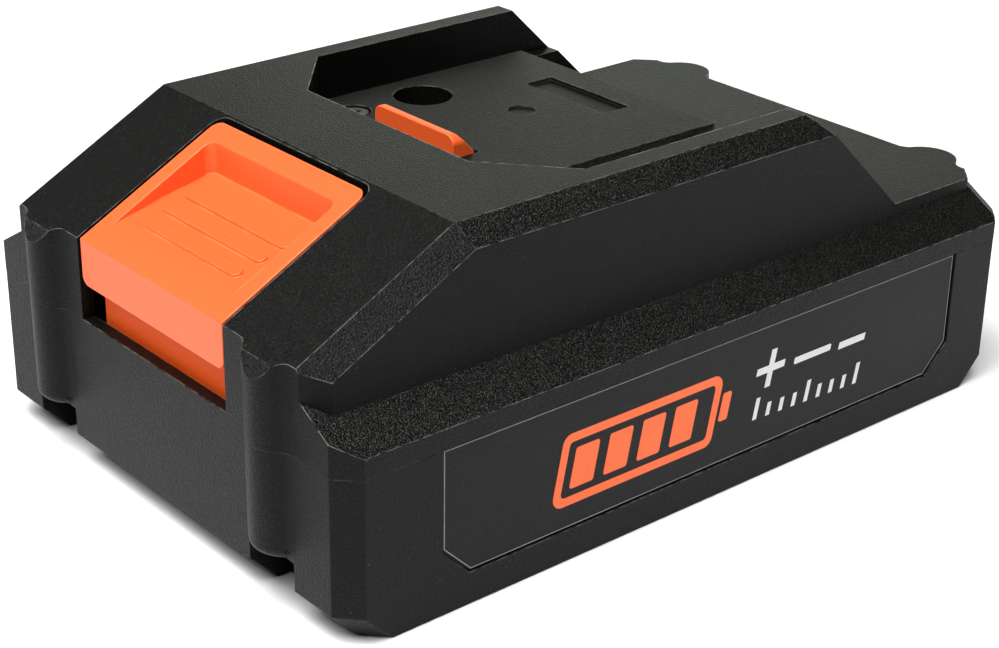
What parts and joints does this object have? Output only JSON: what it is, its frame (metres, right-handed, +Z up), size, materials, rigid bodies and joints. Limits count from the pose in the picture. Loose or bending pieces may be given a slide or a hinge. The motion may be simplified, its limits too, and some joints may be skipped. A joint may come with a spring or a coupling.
{
  "type": "power tool battery pack",
  "caption": "Slide-on battery pack in a black two-part housing, with guide rails and contacts on top and a sprung orange release button with a locking hook.",
  "frame": {"origin": "centre of the base, on the surface that the pack stands on", "axes": "+Z up; -Y towards the end with the release button; +X towards the side with the label"},
  "size_m": [0.076, 0.1171, 0.0433],
  "materials": {
    "housing": "fine-grained black ABS",
    "rail_plate": "smooth satin black ABS",
    "screw_steel": "zinc plated",
    "latch": "satin orange plastic",
    "spring_steel": "bright wire",
    "label": "satin black film",
    "cell_sleeve": "shrink sleeve",
    "nickel": "nickel strip",
    "carrier": "moulded",
    "insulation": "insulating sheet",
    "foam": "closed-cell foam",
    "board": "solder mask",
    "chip": "moulded package",
    "terminal_block": "moulded",
    "contact": "stamped"
  },
  "bodies": {
    "pack": {"lower_housing": "housing", "upper_housing": "housing", "rail_plate": "rail_plate", "rail_plate_screws": "screw_steel", "housing_screws": "screw_steel", "board_screws": "screw_steel", "latch_spring_left": "spring_steel", "latch_spring_right": "spring_steel", "side_label": "label", "cell_1": "cell_sleeve", "cell_2": "cell_sleeve", "cell_3": "cell_sleeve", "cell_4": "cell_sleeve", "cell_5": "cell_sleeve", "negative_strip": "nickel", "link_strip_1": "nickel", "link_strip_2": "nickel", "link_strip_3": "nickel", "link_strip_4": "nickel", "positive_strip": "nickel", "cell_carrier_left": "carrier", "cell_carrier_right": "carrier", "insulator_left": "insulation", "insulator_right": "insulation", "foam_pad_left": "foam", "foam_pad_right": "foam", "protection_board": "board", "power_transistors": "chip", "control_chip": "chip", "shunt_resistor": "chip", "thermistor": "chip", "terminal_block": "terminal_block", "positive_terminal": "contact", "negative_terminal": "contact", "signal_terminals": "contact"},
    "latch": {"release_latch": "latch"}
  },
  "joints": [
    {"name": "latch_press", "type": "slide", "parent": "pack", "child": "latch", "axis": [0, 0, -1], "range_m": [0, 0.0042], "stiffness_N_per_m": 2600, "springref_m": -0.0035, "deforming": ["latch_spring_left", "latch_spring_right"]}
  ]
}
